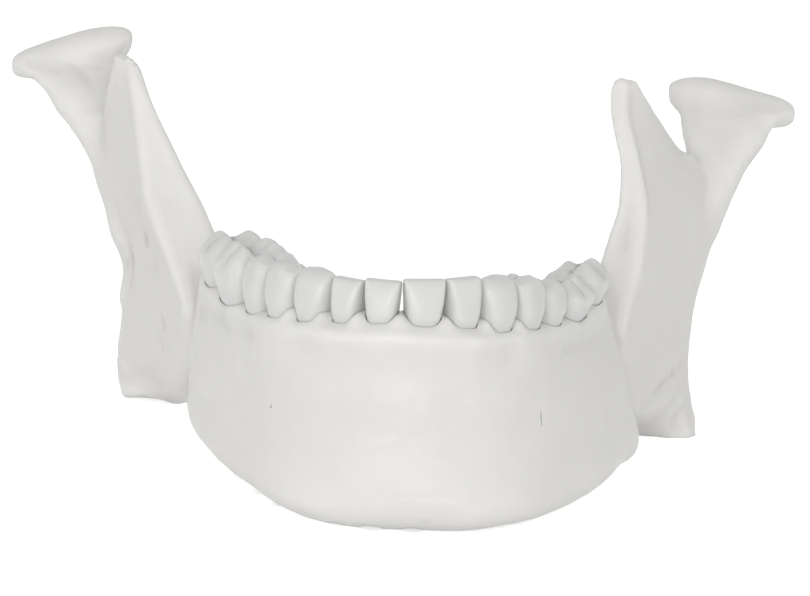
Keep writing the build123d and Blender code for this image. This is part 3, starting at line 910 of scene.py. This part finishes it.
screw_seats = [(foot, foot[2] - SHANK_FIT - SCREW_LEDGE) for foot in tooth_feet]
screws = mesh_object("retaining_screws", *join_skins([skin(screw_rings(f, s)) for f, s in screw_seats]))
slots = [bar((f[0], f[1], s - SCREW_HEAD_H), (4, SLOT_WIDTH, SLOT_DEPTH)) for f, s in screw_seats]
cut(screws, mesh_object("slot_cutter", *join_skins(slots)))
set_shading(screws, SCREW_CREASE)
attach(screws, "jaw")
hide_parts("tooth_screws")
low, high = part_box("tooth_screws")
print("screws from z", round(read_points(screws)[:, 2].min(), 2), "CAD says", round(low.z / MM, 2))

# %% [markdown]
# ## Finishes
# Two plastics and one steel. What they share is built once as node groups that put out colours,
# masks and heights: a fine cast grain, and a tone of painted shade and painted highlight that follows
# the relief mask. The shaders stay in the materials, where an exporter can read them.

# %% Node group: cast grain
def socket(group, name, kind, way, value=None):
    made = group.interface.new_socket(name, in_out=way, socket_type=kind)
    if value is not None:
        made.default_value = value
    return made


def add_node(nodes, kind, values=(), **settings):
    """A shader node of the kind with its settings, and its inputs given as (name, value) pairs."""
    made = nodes.new("ShaderNode" + kind)
    for key, value in settings.items():
        setattr(made, key, value)
    for key, value in values:
        made.inputs[key].default_value = value
    return made


COARSE_WEIGHT = 1.6
HOLLOW_DULLNESS = 0.22


def build_grain():
    """Height = fine noise plus a coarser one times its weight, and Mask = slow clouds, both on object
    coordinates."""
    group = bpy.data.node_groups.new("cast_grain", "ShaderNodeTree")
    socket(group, "Fine Scale", "NodeSocketFloat", "INPUT", 2600.0)
    socket(group, "Cloud Scale", "NodeSocketFloat", "INPUT", 110.0)
    socket(group, "Height", "NodeSocketFloat", "OUTPUT")
    socket(group, "Mask", "NodeSocketFloat", "OUTPUT")
    nodes, links = group.nodes, group.links
    start, end = nodes.new("NodeGroupInput"), nodes.new("NodeGroupOutput")
    place = nodes.new("ShaderNodeTexCoord")
    fine = add_node(nodes, "TexNoise", [("Detail", 3.0)])
    coarse = add_node(nodes, "TexNoise", [("Scale", 420.0)])
    cloud = add_node(nodes, "TexNoise", [("Detail", 4.0), ("Roughness", 0.6)])
    for noise in (fine, coarse, cloud):
        links.new(place.outputs["Object"], noise.inputs["Vector"])
    links.new(start.outputs["Fine Scale"], fine.inputs["Scale"])
    links.new(start.outputs["Cloud Scale"], cloud.inputs["Scale"])
    mixed = add_node(nodes, "Math", [(1, COARSE_WEIGHT)], operation="MULTIPLY_ADD")
    links.new(coarse.outputs["Fac"], mixed.inputs[0])
    links.new(fine.outputs["Fac"], mixed.inputs[2])
    spread = add_node(nodes, "MapRange", [("From Min", 0.35), ("From Max", 0.65)])
    links.new(cloud.outputs["Fac"], spread.inputs["Value"])
    links.new(mixed.outputs[0], end.inputs["Height"])
    links.new(spread.outputs["Result"], end.inputs["Mask"])
    return group


def build_shade_and_highlight_tone():
    """Color = the hollow colour, a painted shade, where the relief mask is low, the ridge colour, a
    painted highlight, where it is high, and the plain colour between, then a step towards the cloud
    colour by the mask. Dullness rises in hollows."""
    group = bpy.data.node_groups.new("painted_shade_and_highlight_tone", "ShaderNodeTree")
    for name in ("Hollow", "Plain", "Ridge", "Cloud"):
        socket(group, name, "NodeSocketColor", "INPUT")
    socket(group, "Cloud Mask", "NodeSocketFloat", "INPUT", 0.0)
    socket(group, "Cloud Share", "NodeSocketFloat", "INPUT", 0.3)
    socket(group, "Gloss Roughness", "NodeSocketFloat", "INPUT", 0.4)
    socket(group, "Color", "NodeSocketColor", "OUTPUT")
    socket(group, "Roughness", "NodeSocketFloat", "OUTPUT")
    nodes, links = group.nodes, group.links
    start, end = nodes.new("NodeGroupInput"), nodes.new("NodeGroupOutput")
    relief = nodes.new("ShaderNodeAttribute")
    relief.attribute_name = "relief"

    def span(low, high, to_low, to_high):
        ends = zip(("From Min", "From Max", "To Min", "To Max"), (low, high, to_low, to_high))
        step = add_node(nodes, "MapRange", ends)
        links.new(relief.outputs["Fac"], step.inputs["Value"])
        return step.outputs["Result"]

    def blend(factor, first, second):
        mix = add_node(nodes, "Mix", data_type="RGBA")
        links.new(factor, mix.inputs["Factor"])
        links.new(first, mix.inputs["A"])
        links.new(second, mix.inputs["B"])
        return mix.outputs["Result"]

    # the hollow mask darkens the colour towards painted shade, and the ridge mask lightens it towards a
    # painted highlight
    hollow = span(0.42, 0.10, 0, 1)
    ridge = span(0.56, 0.90, 0, 1)
    colour = blend(hollow, start.outputs["Plain"], start.outputs["Hollow"])
    colour = blend(ridge, colour, start.outputs["Ridge"])
    share = add_node(nodes, "Math", operation="MULTIPLY")
    links.new(start.outputs["Cloud Mask"], share.inputs[0])
    links.new(start.outputs["Cloud Share"], share.inputs[1])
    colour = blend(share.outputs[0], colour, start.outputs["Cloud"])
    dull = add_node(nodes, "Math", [(1, HOLLOW_DULLNESS)], operation="MULTIPLY_ADD")
    links.new(hollow, dull.inputs[0])
    links.new(start.outputs["Gloss Roughness"], dull.inputs[2])
    links.new(colour, end.inputs["Color"])
    links.new(dull.outputs[0], end.inputs["Roughness"])
    return group


GRAIN, SHADE_AND_HIGHLIGHT_TONE = build_grain(), build_shade_and_highlight_tone()
print("groups:", [group.name for group in bpy.data.node_groups])

# %% [markdown]
# ## Plastic
# Cast resin lets light a little way in, which fills its creases with soft light, so subsurface
# scattering is worth its cost here. The jaw is warmer and duller than the teeth.

# %% Plastic materials
def plastic(name, hollow, plain, ridge, cloud, roughness, bump, scatter):
    """A satin resin from its four tones (painted shade for hollows, plain, painted highlight for
    ridges, and a cloud tone), its roughness, its grain height and its scattering.
    """
    material = bpy.data.materials.new(name)
    material.use_nodes = True
    nodes, links = material.node_tree.nodes, material.node_tree.links
    shader = nodes["Principled BSDF"]
    grain, tone = nodes.new("ShaderNodeGroup"), nodes.new("ShaderNodeGroup")
    grain.node_tree, tone.node_tree = GRAIN, SHADE_AND_HIGHLIGHT_TONE
    for key, colour in zip(("Hollow", "Plain", "Ridge", "Cloud"), (hollow, plain, ridge, cloud)):
        tone.inputs[key].default_value = (*colour, 1)
    tone.inputs["Gloss Roughness"].default_value = roughness
    links.new(grain.outputs["Mask"], tone.inputs["Cloud Mask"])
    links.new(tone.outputs["Color"], shader.inputs["Base Color"])
    links.new(tone.outputs["Roughness"], shader.inputs["Roughness"])
    relief = add_node(nodes, "Bump", [("Distance", bump * MM), ("Strength", 1.0)])
    links.new(grain.outputs["Height"], relief.inputs["Height"])
    links.new(relief.outputs["Normal"], shader.inputs["Normal"])
    shader.inputs["Subsurface Weight"].default_value = scatter
    shader.inputs["Subsurface Radius"].default_value = (1.0, 0.9, 0.8)
    shader.inputs["Subsurface Scale"].default_value = 1.5 * MM
    shader.inputs["IOR"].default_value = 1.5
    return material


# in each plastic the first colour is painted shade for the hollows and the third a painted highlight for the
# ridges
JAW_RESIN = plastic(
    "jaw_resin",
    (0.64, 0.622, 0.59), (0.76, 0.75, 0.725), (0.80, 0.79, 0.768), (0.72, 0.708, 0.68),
    0.46, 0.05, 0.35,
)
TOOTH_RESIN = plastic(
    "tooth_resin",
    (0.60, 0.595, 0.58), (0.69, 0.69, 0.677), (0.73, 0.73, 0.715), (0.65, 0.65, 0.64),
    0.34, 0.02, 0.40,
)
jaw.data.materials.clear()
jaw.data.materials.append(JAW_RESIN)
for tooth in teeth:
    tooth.data.materials.append(TOOTH_RESIN)
print("plastics on", 1 + len(teeth), "pieces")

# %% [markdown]
# ## Steel
# The screws are bright turned steel: a metal with a fine noise for the marks of the tool, a little
# darker and rougher where the noise is low.

# %% Screw steel
def steel():
    material = bpy.data.materials.new("turned_steel")
    material.use_nodes = True
    nodes, links = material.node_tree.nodes, material.node_tree.links
    shader = nodes["Principled BSDF"]
    grain = nodes.new("ShaderNodeGroup")
    grain.node_tree = GRAIN
    grain.inputs["Cloud Scale"].default_value = 900.0
    tones = [("A", (0.46, 0.46, 0.47, 1)), ("B", (0.66, 0.66, 0.65, 1))]
    shade = add_node(nodes, "Mix", tones, data_type="RGBA")
    links.new(grain.outputs["Mask"], shade.inputs["Factor"])
    links.new(shade.outputs["Result"], shader.inputs["Base Color"])
    rough = add_node(nodes, "MapRange", [("To Min", 0.38), ("To Max", 0.24)])
    links.new(grain.outputs["Mask"], rough.inputs["Value"])
    links.new(rough.outputs["Result"], shader.inputs["Roughness"])
    shader.inputs["Metallic"].default_value = 1.0
    marks = add_node(nodes, "Bump", [("Distance", 0.01 * MM)])
    links.new(grain.outputs["Height"], marks.inputs["Height"])
    links.new(marks.outputs["Normal"], shader.inputs["Normal"])
    return material


screws.data.materials.clear()
screws.data.materials.append(steel())
print("screws:", len(screws.data.vertices), "points")

# %% [markdown]
# ## Floor, lights and camera
# A flat white floor and very soft light: one large lamp low in front, a weaker one on each side, and
# a pale world that fills the shadows. Where the camera sees them, straight or in a mirror or glass,
# the world and the floor are lifted to white, and the floor still takes the jaw's soft shadow.

# %% Floor and world
FLOOR_LIFT = 0.66         # glow of the floor where the camera sees it


def seen_rays(nodes, links, otherwise, seen):
    """A number that is one value for camera, mirror and glass rays, and another for all the rest."""
    path = nodes.new("ShaderNodeLightPath")
    total = path.outputs["Is Camera Ray"]
    for key in ("Is Glossy Ray", "Is Transmission Ray"):
        add = add_node(nodes, "Math", operation="MAXIMUM")
        links.new(total, add.inputs[0])
        links.new(path.outputs[key], add.inputs[1])
        total = add.outputs[0]
    choose = add_node(nodes, "MapRange", [("To Min", otherwise), ("To Max", seen)])
    links.new(total, choose.inputs["Value"])
    return choose.outputs["Result"]


def floor_material():
    material = bpy.data.materials.new("white_table")
    material.use_nodes = True
    nodes, links = material.node_tree.nodes, material.node_tree.links
    shader = nodes["Principled BSDF"]
    shader.inputs["Base Color"].default_value = (0.86, 0.86, 0.86, 1)
    shader.inputs["Roughness"].default_value = 0.9
    shader.inputs["Specular IOR Level"].default_value = 0.1
    shader.inputs["Emission Color"].default_value = (1, 1, 1, 1)
    lift = seen_rays(nodes, links, 0.0, FLOOR_LIFT)
    links.new(lift, shader.inputs["Emission Strength"])
    return material


FLOOR_RADIUS = 4000.0
FLOOR_DROP = 0.02         # a hair below the feet, so that the two never share a plane
rim = np.stack([np.cos(ROUND), np.sin(ROUND), 0 * ROUND], axis=-1) * FLOOR_RADIUS - (0, 0, FLOOR_DROP)
floor = mesh_object("floor", rim, [list(range(len(ROUND)))])
floor.data.materials.append(floor_material())

world = bpy.data.worlds.new("pale_studio")
world.use_nodes = True
bpy.context.scene.world = world
sky = world.node_tree.nodes["Background"]
sky.inputs["Color"].default_value = (1, 1, 1, 1)
FILL = 0.48
world.node_tree.links.new(
    seen_rays(world.node_tree.nodes, world.node_tree.links, FILL, 1.0), sky.inputs["Strength"]
)
print("floor radius", FLOOR_RADIUS, "mm, fill", FILL)

# %% Lamps
LAMPS = (                  # name, place in mm, size in mm, watts
    ("front_softbox", (-90, -950, 220), 800, 5.7),
    ("right_softbox", (-900, -100, 500), 700, 1.2),
    ("left_softbox", (900, -200, 450), 700, 1.3),
)
AIM = Vector((0, 40, 22)) * MM
for name, place, size, watts in LAMPS:
    light = bpy.data.lights.new(name, "AREA")
    light.shape = "DISK"
    light.size = size * MM
    light.energy = watts
    lamp = bpy.data.objects.new(name, light)
    lamp.location = Vector(place) * MM
    lamp.rotation_euler = (AIM - lamp.location).to_track_quat("-Z", "Y").to_euler()
    bpy.context.scene.collection.objects.link(lamp)
print(len(LAMPS), "lamps")

# %% Camera
CAMERA_TARGET = Vector((1.45, 46.0, 23.9)) * MM
CAMERA_DISTANCE = 1.0
ELEVATION, ROLL = radians(13), radians(3)
IMAGE_WIDTH, FOCAL_PIXELS = 810, 6522

lens = bpy.data.cameras.new("studio_camera")
lens.sensor_width = 36.0
lens.lens = lens.sensor_width * FOCAL_PIXELS / IMAGE_WIDTH
lens.clip_start, lens.clip_end = 0.05, 20.0
camera = bpy.data.objects.new("studio_camera", lens)
away = Vector((0, -cos(ELEVATION), sin(ELEVATION)))
turn = (-away).to_track_quat("-Z", "Y").to_matrix().to_4x4() @ Matrix.Rotation(ROLL, 4, "Z")
camera.matrix_world = Matrix.Translation(CAMERA_TARGET + away * CAMERA_DISTANCE) @ turn
bpy.context.scene.collection.objects.link(camera)
bpy.context.scene.camera = camera
bpy.context.scene.view_settings.view_transform = "Standard"
print("lens", round(lens.lens, 1), "mm")
